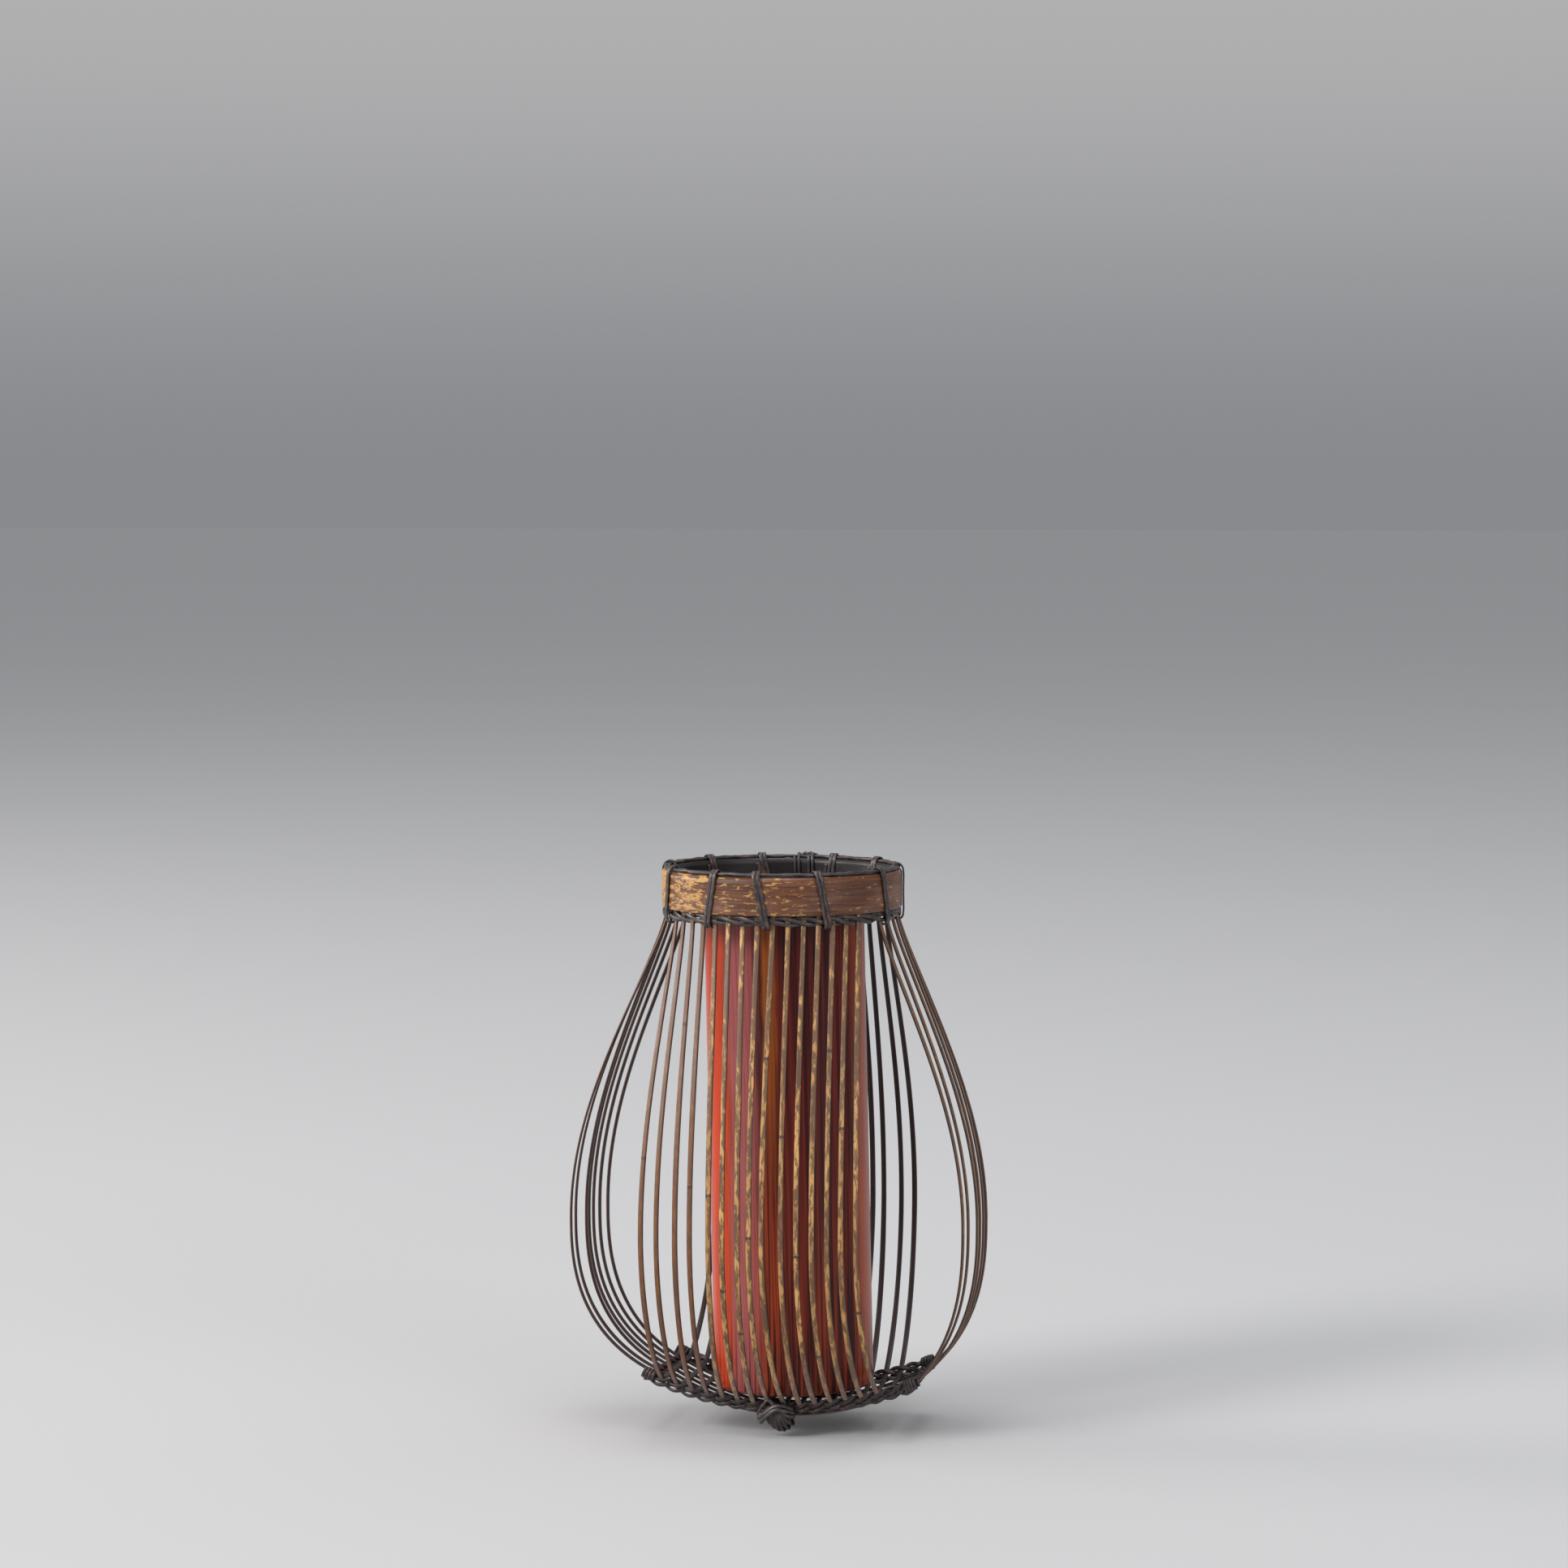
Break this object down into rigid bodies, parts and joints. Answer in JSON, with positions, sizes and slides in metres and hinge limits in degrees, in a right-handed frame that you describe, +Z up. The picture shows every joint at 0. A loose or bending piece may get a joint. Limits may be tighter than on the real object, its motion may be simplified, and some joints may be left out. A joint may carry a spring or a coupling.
{
  "type": "hanging bamboo vase",
  "caption": "Wall-hung vase: a pear-shaped open cage of split-bamboo strips under a hoop rim lashed with cane, with a lacquered bamboo water tube that lifts out.",
  "frame": {"origin": "centre of the hanging ring at the back of the rim", "axes": "+Z up, the object's longest extent; +Y backwards, away from the viewer, its shortest extent; +X to the right of someone who faces it"},
  "size_m": [0.1428, 0.1168, 0.1954],
  "materials": {
    "strip_bamboo": "satin, smoked and mottled",
    "hoop_bamboo": "satin, smoked and mottled",
    "dark_cane": "satin, stained near black",
    "lacquered_culm": "glossy red-brown lacquer"
  },
  "bodies": {
    "basket": {"front_back_strip_01": "strip_bamboo", "front_back_strip_02": "strip_bamboo", "front_back_strip_03": "strip_bamboo", "front_back_strip_04": "strip_bamboo", "front_back_strip_05": "strip_bamboo", "front_back_strip_06": "strip_bamboo", "front_back_strip_07": "strip_bamboo", "front_back_strip_08": "strip_bamboo", "front_back_strip_09": "strip_bamboo", "front_back_strip_10": "strip_bamboo", "front_back_strip_11": "strip_bamboo", "front_back_strip_12": "strip_bamboo", "front_back_strip_13": "strip_bamboo", "front_back_strip_14": "strip_bamboo", "front_back_strip_15": "strip_bamboo", "side_strip_1": "strip_bamboo", "side_strip_2": "strip_bamboo", "side_strip_3": "strip_bamboo", "side_strip_4": "strip_bamboo", "side_strip_5": "strip_bamboo", "side_strip_6": "strip_bamboo", "side_strip_7": "strip_bamboo", "outer_hoop": "hoop_bamboo", "inner_hoop": "hoop_bamboo", "capping_cane_outer": "dark_cane", "capping_cane_inner": "dark_cane", "neck_cane_outer": "dark_cane", "neck_cane_inner": "dark_cane", "rim_lashing_01": "dark_cane", "rim_lashing_02": "dark_cane", "rim_lashing_03": "dark_cane", "rim_lashing_04": "dark_cane", "rim_lashing_05": "dark_cane", "rim_lashing_06": "dark_cane", "rim_lashing_07": "dark_cane", "rim_lashing_08": "dark_cane", "rim_lashing_09": "dark_cane", "rim_lashing_10": "dark_cane", "rim_lashing_11": "dark_cane", "base_cane_front_outer": "dark_cane", "base_cane_front_inner": "dark_cane", "base_cane_back_outer": "dark_cane", "base_cane_back_inner": "dark_cane", "base_cane_left_outer": "dark_cane", "base_cane_left_inner": "dark_cane", "base_cane_right_outer": "dark_cane", "base_cane_right_inner": "dark_cane", "corner_lashing_front_left": "dark_cane", "corner_lashing_front_right": "dark_cane", "corner_lashing_back_left": "dark_cane", "corner_lashing_back_right": "dark_cane", "front_knot": "dark_cane", "front_knot_core": "dark_cane", "hanging_ring": "dark_cane", "hanging_ring_tie_right": "dark_cane", "hanging_ring_tie_left": "dark_cane"},
    "water_tube": {"water_tube": "lacquered_culm"}
  },
  "joints": [
    {"name": "tube_lift", "type": "slide", "parent": "basket", "child": "water_tube", "axis": [-0.0215, 0, 0.9998], "range_m": [0, 0.185]}
  ]
}
